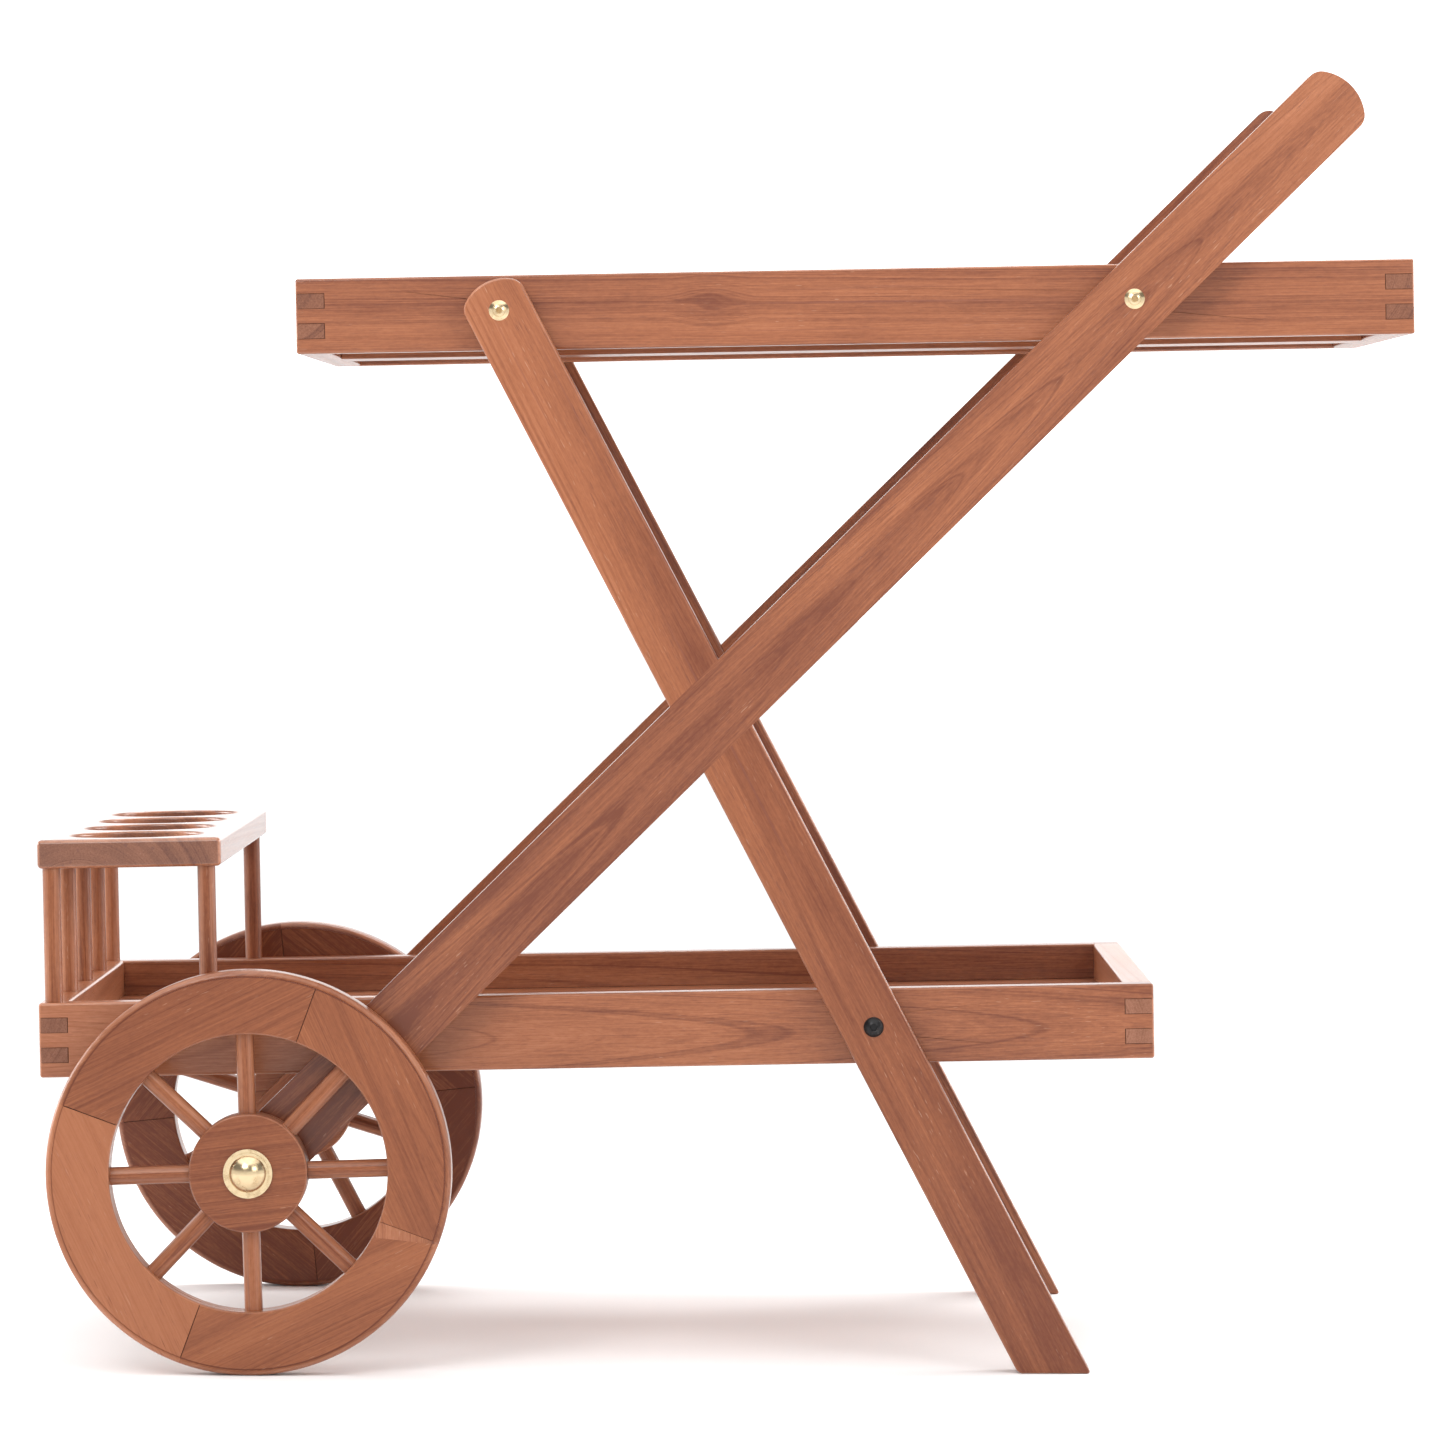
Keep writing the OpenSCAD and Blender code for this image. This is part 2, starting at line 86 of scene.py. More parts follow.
def straight_edges(name):
    """The borders of a node's CAD faces, as (length, start, direction), longest first."""
    mesh = NODES[name].data
    uses = {}
    for face in mesh.polygons:
        for key in face.edge_keys:
            uses[key] = uses.get(key, 0) + 1
    found = []
    for (a, b), count in uses.items():
        if count == 1:
            start = mesh.vertices[a].co
            step = mesh.vertices[b].co - start
            found.append((step.length, start.copy(), step))
    return sorted(found, key=lambda row: -row[0])


def along(name):
    """Unit vector along a node's longest straight edge, pointing to +X or +Y."""
    step = straight_edges(name)[0][2].normalized()
    return -step if step.x + step.y < 0 else step


def middle(name):
    lo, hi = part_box(name)
    return (lo + hi) / 2


def tray_place(tray):
    """(matrix from a tray's own directions to the frame, its length, width and height)."""
    axis = Vector(MOUNTS["bottle_hole_1"]["axis"])
    tilt = math.atan2(-axis.x, axis.z)
    lo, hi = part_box(f"{tray}_near_rail")
    far_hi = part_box(f"{tray}_far_rail")[1]
    cos, sin = math.cos(tilt), math.sin(tilt)
    span_x, span_z = hi.x - lo.x, hi.z - lo.z
    length = (span_x * cos - span_z * sin) / (cos * cos - sin * sin)
    height = (span_z * cos - span_x * sin) / (cos * cos - sin * sin)
    corner = Vector((lo.x + height * sin, lo.y, lo.z))
    place = Matrix.Translation(corner) @ Matrix.Rotation(-tilt, 4, "Y")
    return place, length, far_hi.y - lo.y, height


def board_thickness():
    lo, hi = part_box("upper_near_rail")
    return hi.y - lo.y


def wheel_centre(side):
    return Vector(JOINTS[f"{side}_wheel_spin"]["pos_m"])


def numbered(family):
    """The names of a family of numbered nodes."""
    return [node for node in NODES if node.startswith(f"{family}_")]


# ---- Envelopes: hidden shapes that cut round edges on the CAD parts ----

def hidden_object(name, bm):
    mesh = bpy.data.meshes.new(name)
    bmesh.ops.recalc_face_normals(bm, faces=bm.faces)
    bm.to_mesh(mesh)
    bm.free()
    obj = bpy.data.objects.new(name, mesh)
    obj.hide_render = True
    obj.hide_viewport = True
    bpy.context.scene.collection.objects.link(obj)
    return obj


def prism(outline, low, high):
    """A bmesh prism over a list of (x, z) points, between two y values."""
    bm = bmesh.new()
    front = [bm.verts.new((x, low, z)) for x, z in outline]
    back = [bm.verts.new((x, high, z)) for x, z in outline]
    bm.faces.new(front)
    bm.faces.new(list(reversed(back)))
    count = len(outline)
    for i in range(count):
        j = (i + 1) % count
        bm.faces.new((front[j], front[i], back[i], back[j]))
    return bm


def round_edges(bm, edges, radius, segments=4):
    """Bevels the edges and returns the new faces."""
    made = bmesh.ops.bevel(bm, geom=edges, offset=radius, segments=segments, profile=0.5,
                           affect="EDGES", clamp_overlap=True)
    return made["faces"]


def tray_envelope(tray):
    """A whole tray's four sides with round edges and corners."""
    place, length, width, height = tray_place(tray)
    board = board_thickness()
    bm = bmesh.new()
    rings = []
    for inset in (-CLEAR, board + CLEAR):
        ring = []
        for z in (-CLEAR, height + CLEAR):
            corners = ((inset, inset), (length - inset, inset),
                       (length - inset, width - inset), (inset, width - inset))
            ring.append([bm.verts.new((x, y, z)) for x, y in corners])
        rings.append(ring)
    outer, inner = rings
    for i in range(4):
        j = (i + 1) % 4
        bm.faces.new((outer[0][i], outer[0][j], outer[1][j], outer[1][i]))
        bm.faces.new((inner[0][j], inner[0][i], inner[1][i], inner[1][j]))
        bm.faces.new((outer[1][i], outer[1][j], inner[1][j], inner[1][i]))
        bm.faces.new((outer[0][j], outer[0][i], inner[0][i], inner[0][j]))
    sharp = []
    for edge in bm.edges:
        a, b = (v.co for v in edge.verts)
        on_outline = abs(a.x - b.x) < CLEAR or abs(a.y - b.y) < CLEAR
        upright = abs(a.z - b.z) > CLEAR
        if upright and min(a.x, a.y) > 0 and max(a.x - length, a.y - width) < 0:
            continue
        if on_outline:
            sharp.append(edge)
    round_edges(bm, sharp, SANDED_R)
    bm.transform(place)
    return hidden_object(f"{tray}_tray_envelope", bm)


def arc(centre, radius, start, end, steps):
    """Points on an arc round a 2-D centre between two angles, both ends included."""
    angles = [start + (end - start) * i / steps for i in range(steps + 1)]
    return [(centre[0] + radius * math.cos(a), centre[1] + radius * math.sin(a)) for a in angles]


def blunt_end(tip, width):
    """Outline of a bar's upper end: a broad arc between two corner arcs, rising 3 in 4."""
    unit = (width / 2 - BAR_CORNER_R) / 3
    end_r = BAR_CORNER_R + 5 * unit
    corner_x = tip - end_r + 4 * unit
    slope = math.atan2(3, 4)
    lower = arc((corner_x, -3 * unit), BAR_CORNER_R, -math.pi / 2, -slope, 10)
    broad = arc((tip - end_r, 0), end_r, -slope, slope, 16)
    upper = arc((corner_x, 3 * unit), BAR_CORNER_R, slope, math.pi / 2, 10)
    return lower + broad[1:] + upper[1:]


def side_frame_y(side):
    lo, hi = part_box(f"{side}_leg")
    return lo.y - CLEAR, hi.y + CLEAR


def bar_axis(name):
    """(a point on a bar's long edge, its direction upwards, the direction across it)."""
    _, start, step = straight_edges(name)[0]
    up = step.normalized()
    if up.z < 0:
        up = -up
    across = Vector((-up.z, 0, up.x))
    return start, up, across


def bar_envelope(name, side, outline):
    """A bar with round edges, from its outline along and across the bar, in the X-Z plane."""
    low, high = side_frame_y(side)
    bm = prism(outline, low, high)
    faces = [e for e in bm.edges if abs(e.verts[0].co.y - e.verts[1].co.y) < CLEAR]
    round_edges(bm, faces, SANDED_R)
    return hidden_object(f"{name}_envelope", bm)


def to_plane(points, origin, up, across):
    moved = [origin + up * p[0] + across * p[1] for p in points]
    return [(p.x, p.z) for p in moved]


def extent(name, direction):
    """Lowest and highest distance of a node's points along a direction."""
    dots = [v.co.dot(direction) for v in NODES[name].data.vertices]
    return min(dots), max(dots)


def beam_envelope(side):
    name = f"{side}_beam"
    _, up, across = bar_axis(name)
    low_end, high_end = extent(name, up)
    low_side, high_side = extent(name, across)
    origin = across * (low_side + high_side) / 2
    width = high_side - low_side + 2 * CLEAR
    top = blunt_end(high_end + CLEAR, width)
    bottom = [(low_end + high_end - x, -y) for x, y in top]
    return bar_envelope(name, side, to_plane(top + bottom, origin, up, across))


def leg_envelope(side):
    name = f"{side}_leg"
    _, up, across = bar_axis(name)
    low_side, high_side = extent(name, across)
    origin = across * (low_side + high_side) / 2
    width = high_side - low_side + 2 * CLEAR
    tip = extent(name, up)[1] + CLEAR
    outline = to_plane(blunt_end(tip, width), origin, up, across)
    foot = []
    for x, z in (outline[-1], outline[0]):
        slide = (z + CLEAR) / up.z
        foot.append((x - up.x * slide, -CLEAR))
    outline = outline + foot
    low, high = side_frame_y(side)
    bm = prism(outline, low, high)
    upright = [e for e in bm.edges
               if abs(e.verts[0].co.y - e.verts[1].co.y) > CLEAR and e.verts[0].co.z < CLEAR]
    round_edges(bm, upright, FOOT_CORNER_R, 6)
    faces = [e for e in bm.edges if abs(e.verts[0].co.y - e.verts[1].co.y) < CLEAR]
    round_edges(bm, faces, SANDED_R)
    return hidden_object(f"{name}_envelope", bm)


def box_envelope(name, place, size, radius):
    """A box with round edges, from its place and size."""
    bm = bmesh.new()
    bmesh.ops.create_cube(bm, size=1.0)
    grow = Vector((2 * CLEAR,) * 3)
    bm.transform(Matrix.Translation(size / 2) @ Matrix.Diagonal((size + grow).to_4d()))
    round_edges(bm, bm.edges[:], radius)
    bm.transform(place)
    return hidden_object(f"{name}_envelope", bm)


def lathe_object(name, outline, centre):
    """A hidden solid of revolution about a Y axis, from (radius, y) points in order."""
    bm = bmesh.new()
    rings = []
    for radius, y in outline:
        ring = []
        for i in range(LATHE_STEPS):
            a = 2 * math.pi * i / LATHE_STEPS
            ring.append(bm.verts.new((radius * math.cos(a), y, radius * math.sin(a))))
        rings.append(ring)
    for low, high in zip(rings, rings[1:]):
        for i in range(LATHE_STEPS):
            j = (i + 1) % LATHE_STEPS
            bm.faces.new((low[i], low[j], high[j], high[i]))
    bm.faces.new(rings[0])
    bm.faces.new(list(reversed(rings[-1])))
    bm.transform(Matrix.Translation(centre))
    return hidden_object(name, bm)


def hub_envelope(side):
    """A disc with round edges, a little wider than the hub's own flat faces."""
    centre = wheel_centre(side)
    lo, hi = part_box(f"{side}_hub")
    half = (hi.y - lo.y) / 2 + CLEAR
    radius = (hi.x - lo.x) / 2 + CLEAR
    corner = SANDED_R
    low = [(radius - corner + x, y - half + corner)
           for x, y in arc((0, 0), corner, -math.pi / 2, 0, 5)]
    high = [(r, -y) for r, y in reversed(low)]
    return lathe_object(f"{side}_hub_envelope", low + high, centre)


def felloe_envelope(name, side):
    """A wedge of the rim whose two joint faces have fine chamfers."""
    centre = wheel_centre(side)
    a0, a1 = joint_angles(name, side)
    lo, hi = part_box(name)
    reach = 2 * WHEEL_R
    angles = [a0 + (a1 - a0) * i / 3 for i in range(4)]
    push = CLEAR / math.sin((a1 - a0) / 2)
    heart = Vector((math.cos((a0 + a1) / 2), 0, math.sin((a0 + a1) / 2))) * -push
    outline = [(centre.x + heart.x, centre.z + heart.z)]
    for a in angles:
        outline.append((centre.x + heart.x + reach * math.cos(a),
                        centre.z + heart.z + reach * math.sin(a)))
    bm = prism(outline, lo.y - CLEAR, hi.y + CLEAR)
    tip = Vector(outline[0])
    chamfered = []
    for edge in bm.edges:
        a, b = (v.co for v in edge.verts)
        in_face = abs(a.y - b.y) < CLEAR
        at_tip = min((Vector((p.x, p.z)) - tip).length for p in (a, b)) < CLEAR
        if in_face and at_tip:
            chamfered.append(edge)
    # The chamfers at the joint take the second material: painted shade in the groove
    for face in round_edges(bm, chamfered, FELLOE_CHAMFER, 1):
        face.material_index = 1
    return hidden_object(f"{name}_envelope", bm)


def joint_angles(name, side):
    """The two angles, in the X-Z plane, between which a felloe lies on its rim."""
    centre = wheel_centre(side)
    heading = []
    for vertex in NODES[name].data.vertices:
        p = vertex.co - centre
        heading.append(math.atan2(p.z, p.x))
    mid = math.atan2(sum(math.sin(a) for a in heading), sum(math.cos(a) for a in heading))
    turns = [(a - mid + math.pi) % (2 * math.pi) - math.pi for a in heading]
    return mid + min(turns), mid + max(turns)


# ---- Modifiers on the CAD parts ----

def smoothing_group():
    """Shades smooth except across sharp edges, and drops the imported normals."""
    group = bpy.data.node_groups.new("smooth_by_angle", "GeometryNodeTree")
    group.interface.new_socket("Geometry", in_out="INPUT", socket_type="NodeSocketGeometry")
    group.interface.new_socket("Geometry", in_out="OUTPUT", socket_type="NodeSocketGeometry")
    source = group.nodes.new("NodeGroupInput")
    result = group.nodes.new("NodeGroupOutput")
    angle = group.nodes.new("GeometryNodeInputMeshEdgeAngle")
    compare = group.nodes.new("FunctionNodeCompare")
    compare.data_type = "FLOAT"
    compare.operation = "GREATER_THAN"
    compare.inputs[1].default_value = SMOOTH_ANGLE
    forget = group.nodes.new("GeometryNodeRemoveAttribute")
    forget.inputs["Name"].default_value = "custom_normal"
    faces = group.nodes.new("GeometryNodeSetShadeSmooth")
    faces.domain = "FACE"
    edges = group.nodes.new("GeometryNodeSetShadeSmooth")
    edges.domain = "EDGE"
    edges.inputs["Shade Smooth"].default_value = False
    link = group.links.new
    link(source.outputs[0], forget.inputs["Geometry"])
    link(forget.outputs[0], faces.inputs["Geometry"])
    link(faces.outputs[0], edges.inputs["Geometry"])
    link(angle.outputs["Unsigned Angle"], compare.inputs[0])
    link(compare.outputs["Result"], edges.inputs["Selection"])
    link(edges.outputs[0], result.inputs[0])
    return group


SMOOTHING = smoothing_group()


def weld(node):
    NODES[node].modifiers.new("weld", "WELD").merge_threshold = WELD_GAP


def chamfer(node, width, segments=1, seam=True):
    """Bevels sharp edges; in a seam the bevel takes the part's second material, which paints shade in the groove.
    """
    mod = NODES[node].modifiers.new("chamfer", "BEVEL")
    mod.material = 1 if seam else -1
    mod.width = width
    mod.segments = segments
    mod.limit_method = "ANGLE"
    mod.angle_limit = CORNER_ANGLE
    mod.use_clamp_overlap = False


def cut(node, tool, operation="INTERSECT"):
    mod = NODES[node].modifiers.new(tool.name, "BOOLEAN")
    mod.operation = operation
    mod.object = tool
    mod.solver = "MANIFOLD"
    mod.material_mode = "INDEX"


def finish_shading(node):
    obj = NODES[node]
    obj.modifiers.new("smooth", "NODES").node_group = SMOOTHING
    normals = obj.modifiers.new("normals", "WEIGHTED_NORMAL")
    normals.keep_sharp = True
    normals.weight = 100


def shape_trays():
    for tray in ("upper", "lower"):
        envelope = tray_envelope(tray)
        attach(envelope, "frame")
        for part in ("near_rail", "far_rail", "wheel_end", "handle_end"):
            node = f"{tray}_{part}"
            weld(node)
            chamfer(node, TRAY_CHAMFER)
            cut(node, envelope)
        weld(f"{tray}_centre_board")
        chamfer(f"{tray}_centre_board", CENTRE_BOARD_CHAMFER, 2, seam=False)
        weld(f"{tray}_floor")


def shape_bars():
    for side in SIDES:
        for node, envelope in ((f"{side}_beam", beam_envelope(side)),
                               (f"{side}_leg", leg_envelope(side))):
            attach(envelope, "frame")
            weld(node)
            cut(node, envelope)


def rack_place():
    """The rack board's own place and size, from its box and the trays' slope."""
    place = tray_place("lower")[0]
    turn = place.to_3x3()
    points = [turn.inverted() @ v.co for v in NODES["rack_board"].data.vertices]
    low = Vector([min(p[i] for p in points) for i in range(3)])
    high = Vector([max(p[i] for p in points) for i in range(3)])
    return Matrix.Translation(turn @ low) @ turn.to_4x4(), high - low


def rim_cutter(name, mount):
    """Rounds both rims of a through hole."""
    radius = mount["dims"]["r_mm"] / 1000
    half = mount["dims"]["length_mm"] / 2000
    r = SANDED_R
    top = [(radius + r - r * math.cos(a), half - r + r * math.sin(a))
           for a in (math.pi / 2 * i / 5 for i in range(6))]
    outline = [(p, -y) for p, y in reversed(top)] + top
    outline = [(outline[0][0], -half - r)] + outline + [(outline[-1][0], half + r)]
    tool = lathe_object(name, outline, Vector())
    turn = Y_AXIS.rotation_difference(Vector(mount["axis"]))
    tool.data.transform(Matrix.Translation(mount["pos_m"]) @ turn.to_matrix().to_4x4())
    return tool


def shape_rack():
    place, size = rack_place()
    envelope = box_envelope("rack_board", place, size, RACK_CORNER_R)
    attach(envelope, "frame")
    weld("rack_board")
    cut("rack_board", envelope)
    for name, mount in MOUNTS.items():
        if name.startswith("bottle_hole"):
            tool = rim_cutter(f"{name}_rim", mount)
            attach(tool, "frame")
            cut("rack_board", tool, "DIFFERENCE")
    for post in numbered("rack_post"):
        weld(post)


def shape_wheels():
    for side in SIDES:
        body = f"{side}_wheel"
        envelope = hub_envelope(side)
        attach(envelope, body)
        weld(f"{side}_hub")
        cut(f"{side}_hub", envelope)
        for felloe in numbered(f"{side}_felloe"):
            weld(felloe)
            tool = felloe_envelope(felloe, side)
            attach(tool, body)
            cut(felloe, tool)
    weld("near_rim_wedge")


# ---- Materials ----

class Graph:
    """Short names for the shader nodes that the materials are built from."""

    def __init__(self, tree):
        self.tree = tree

    def node(self, kind, inputs=(), **settings):
        """Adds a node; its inputs are plain values, or outputs of other nodes to link."""
        made = self.tree.nodes.new(kind)
        for name, value in settings.items():
            setattr(made, name, value)
        for key, value in dict(inputs).items():
            self.put(made.inputs[key], value)
        return made

    def put(self, socket, value):
        if isinstance(value, bpy.types.NodeSocket):
            self.tree.links.new(value, socket)
        else:
            socket.default_value = value

    def math(self, operation, a, b=0.0, c=0.0, clamp=False):
        made = self.node("ShaderNodeMath", {0: a, 1: b, 2: c}, operation=operation)
        made.use_clamp = clamp
        return made.outputs[0]

    def vary(self, value, noise, amount):
        """The value plus the noise's distance from one half, times the amount."""
        return self.math("MULTIPLY_ADD", self.math("SUBTRACT", noise, 0.5), amount, value)

    def apart(self, a, b):
        """How far two numbers are apart."""
        return self.math("ABSOLUTE", self.math("SUBTRACT", a, b))

    def vector_math(self, operation, *values):
        made = self.node("ShaderNodeVectorMath", enumerate(values), operation=operation)
        return made.outputs["Vector"]

    def scaled(self, vector, scale):
        return self.vector_math("MULTIPLY", vector, scale)

    def length(self, vector):
        made = self.node("ShaderNodeVectorMath", {0: vector}, operation="LENGTH")
        return made.outputs["Value"]

    def axes(self, vector):
        return self.node("ShaderNodeSeparateXYZ", {0: vector}).outputs

    def noise(self, vector, scale, detail, rough):
        made = self.node("ShaderNodeTexNoise", {"Vector": vector, "Scale": scale,
                                                "Detail": detail, "Roughness": rough})
        return made.outputs[0]

    def stretched_noise(self, vector, scales, detail, rough):
        """Noise with a scale of its own along each axis."""
        return self.noise(self.scaled(vector, scales), 1.0, detail, rough)

    def noise_1d(self, w, scale, detail, rough=0.5):
        made = self.node("ShaderNodeTexNoise",
                         {"W": w, "Scale": scale, "Detail": detail, "Roughness": rough},
                         noise_dimensions="1D")
        return made.outputs[0]

    def span(self, value, low, high, to_low=0.0, to_high=1.0):
        """A smooth step from to_low to to_high as the value goes from low to high."""
        made = self.node("ShaderNodeMapRange",
                         {"Value": value, "From Min": low, "From Max": high,
                          "To Min": to_low, "To Max": to_high})
        made.interpolation_type = "SMOOTHSTEP"
        return made.outputs[0]

    def mix(self, factor, a, b, blend="MIX"):
        made = self.tree.nodes.new("ShaderNodeMix")
        made.data_type = "RGBA"
        made.blend_type = blend
        self.put(made.inputs[0], factor)
        self.put(made.inputs[6], a)
        self.put(made.inputs[7], b)
        return made.outputs[2]

    def ramp(self, value, stops):
        made = self.tree.nodes.new("ShaderNodeValToRGB")
        self.put(made.inputs[0], value)
        bar = made.color_ramp.elements
        while len(bar) < len(stops):
            bar.new(0.5)
        for element, (place, colour) in zip(bar, stops):
            element.position = place
            element.color = colour
        return made.outputs[0]

    def bump(self, height, strength, distance):
        made = self.node("ShaderNodeBump", {"Height": height, "Strength": strength,
                                            "Distance": distance})
        return made.outputs[0]


# Colours, as linear red, green, blue and alpha
TEAK_DARK = (0.145, 0.036, 0.014, 1.0)
TEAK_MIDDLE = (0.300, 0.099, 0.040, 1.0)
TEAK_LIGHT = (0.42, 0.157, 0.074, 1.0)
PORE = (0.13, 0.038, 0.022, 1.0)
CHALK = (0.58, 0.36, 0.24, 1.0)
THREAD = (0.17, 0.052, 0.032, 1.0)
# Paler colour of rounded edges: partly wear, partly a painted highlight
WORN_EDGE_AND_HIGHLIGHT = (0.78, 0.44, 0.30, 1.0)
END_GRAIN_TINT = (0.66, 0.72, 0.86, 1.0)
# Painted shade in the fine grooves between glued pieces
SEAM_SHADE_DARK = (0.050, 0.016, 0.008, 1.0)
SEAM_SHADE_LIGHT = (0.110, 0.036, 0.017, 1.0)
BRASS = (0.74, 0.58, 0.36, 1.0)
TARNISH = (0.34, 0.20, 0.08, 1.0)
BLACKENED = (0.016, 0.015, 0.016, 1.0)
RUBBED = (0.075, 0.070, 0.068, 1.0)
BRIGHT_STEEL = (0.56, 0.56, 0.57, 1.0)
DULL_STEEL = (0.40, 0.38, 0.36, 1.0)
# Where plain wood lies between the darkest teak, near 0, and the lightest, near 1
MIDDLE_VALUE = 0.56


def ring_place(g, source):
    """Distance from the pith, drifting slowly along the grain."""
    grain = source["Grain"]
    drift = g.stretched_noise(grain, (2.2, 9.0, 9.0), 2.0, 0.45)
    shift = g.math("MULTIPLY", g.math("SUBTRACT", drift, 0.5), source["Wander"])
    from_pith = g.vector_math("SUBTRACT", grain, source["Pith"])
    away = g.length(g.scaled(from_pith, (0.0, 1.0, 1.0)))
    return g.math("ADD", g.math("ADD", away, shift), source["Shift"])


def wood_value(g, source, ring, bands, lines, fibre, cloud):
    """How light the wood is, from 0 to 1, before pores and deposits."""
    broad = g.noise_1d(ring, 55.0, 2.0, 0.5)
    late_wood = g.apart(g.noise_1d(ring, 105.0, 1.0, 0.5), 0.5)
    fleck = g.stretched_noise(source["Grain"], (210.0, 640.0, 640.0), 2.0, 0.6)
    value = g.vary(MIDDLE_VALUE, broad, 0.50)
    value = g.vary(value, bands, 0.32)
    value = g.vary(value, lines, 0.42)
    value = g.vary(value, fibre, 0.85)
    value = g.vary(value, fleck, 0.40)
    value = g.vary(value, cloud, 0.62)
    value = g.math("ADD", value, g.span(late_wood, 0.0, 0.022, -0.22, 0.0))
    value = g.math("MULTIPLY_ADD", g.math("SUBTRACT", value, MIDDLE_VALUE),
                   source["Contrast"], MIDDLE_VALUE)
    return g.math("ADD", value, source["Tone"])


def open_pores(g, grain, bands):
    """Short dark dashes along the grain, from 0 to 1."""
    noise = g.stretched_noise(grain, (70.0, 1500.0, 1500.0), 1.0, 0.5)
    return g.math("MULTIPLY", g.span(noise, 0.64, 0.74), g.span(bands, 0.35, 0.62))


def deposits(g, grain, cloud, colour):
    """Sparse pale dashes of chalk in some pores, and rare long dark threads."""
    noise = g.stretched_noise(grain, (110.0, 900.0, 900.0), 1.0, 0.5)
    chalk = g.math("MULTIPLY", g.span(noise, 0.68, 0.77), g.span(cloud, 0.46, 0.64))
    colour = g.mix(g.math("MULTIPLY", chalk, 0.30), colour, CHALK)
    thread = g.stretched_noise(grain, (2.4, 210.0, 210.0), 1.0, 0.4)
    return g.mix(g.span(thread, 0.69, 0.80, 0.0, 0.55), colour, THREAD)


def end_and_edge(g, source):
    """How far a point is end grain, and how far it is on a rounded edge, from 0 to 1."""
    facing = g.vector_math("NORMALIZE", source["Facing"])
    parts = g.axes(g.vector_math("ABSOLUTE", facing))
    largest = g.math("MAXIMUM", g.math("MAXIMUM", parts[0], parts[1]), parts[2])
    return g.span(parts[0], 0.80, 0.97), g.span(largest, 0.995, 0.86)


def teak_sockets(tree):
    """The teak group's inputs and outputs."""
    for name in ("Grain", "Facing", "Pith"):
        tree.interface.new_socket(name, in_out="INPUT", socket_type="NodeSocketVector")
    for name in ("Wander", "Shift", "Tone", "Contrast"):
        tree.interface.new_socket(name, in_out="INPUT", socket_type="NodeSocketFloat")
    tree.interface.new_socket("Color", in_out="OUTPUT", socket_type="NodeSocketColor")
    for name in ("Roughness", "Height"):
        tree.interface.new_socket(name, in_out="OUTPUT", socket_type="NodeSocketFloat")


def teak_group():
    """Solid wood: growth rings, bands, fibres, pores, end grain and sanded edges, whose paler colour is partly
    wear and partly a painted highlight.

    The grain runs along X and the broad faces lie across Z.
    """
    tree = bpy.data.node_groups.new("teak", "ShaderNodeTree")
    teak_sockets(tree)
    g = Graph(tree)
    source = g.node("NodeGroupInput").outputs
    grain = source["Grain"]
    ring = ring_place(g, source)
    bands = g.noise_1d(ring, 230.0, 3.0, 0.6)
    lines = g.noise_1d(ring, 950.0, 3.0, 0.65)
    fibre = g.stretched_noise(grain, (22.0, 1000.0, 1000.0), 3.0, 0.65)
    cloud = g.stretched_noise(grain, (7.0, 26.0, 26.0), 4.0, 0.6)
    value = wood_value(g, source, ring, bands, lines, fibre, cloud)
    colour = g.ramp(value, ((0.08, TEAK_DARK), (MIDDLE_VALUE, TEAK_MIDDLE),
                            (0.98, TEAK_LIGHT)))
    pore = open_pores(g, grain, bands)
    colour = g.mix(g.math("MULTIPLY", pore, 0.55), colour, PORE)
    colour = deposits(g, grain, cloud, colour)

    # End grain is darker and greyer; sanded edges are smoother and paler, partly from wear and partly as a painted
    # highlight along the rounded edges
    end, edge = end_and_edge(g, source)
    # Mask of the rounded edges that get wear and a painted highlight
    worn = g.math("MULTIPLY", edge, g.span(cloud, 0.30, 0.62))
    colour = g.mix(end, colour, END_GRAIN_TINT, "MULTIPLY")
    colour = g.mix(g.math("MULTIPLY", worn, 0.18), colour, WORN_EDGE_AND_HIGHLIGHT)
    rough = g.vary(0.34, bands, 0.18)
    rough = g.vary(rough, cloud, 0.16)
    rough = g.math("MULTIPLY_ADD", pore, 0.20, rough)
    rough = g.math("MULTIPLY_ADD", end, 0.12, rough)
    rough = g.math("MULTIPLY_ADD", worn, -0.07, rough, clamp=True)
    height = g.math("MULTIPLY_ADD", fibre, 0.35, g.math("MULTIPLY", lines, 0.30))
    height = g.math("MULTIPLY_ADD", pore, -0.8, height)
    result = g.node("NodeGroupOutput")
    g.put(result.inputs["Color"], colour)
    g.put(result.inputs["Roughness"], rough)
    g.put(result.inputs["Height"], height)
    return tree


TEAK = teak_group()


def plain_material(name):
    """A new material, the graph to add to and its Principled shader."""
    material = bpy.data.materials.new(name)
    material.use_nodes = True
    shader = material.node_tree.nodes["Principled BSDF"]
    return material, Graph(material.node_tree), shader


def grain_axes(grain, normal):
    """Rotation that turns the grain direction to X and the face normal to Z."""
    grain = grain.normalized()
    across = normal.normalized().cross(grain).normalized()
    return Matrix((grain, across, grain.cross(across)))
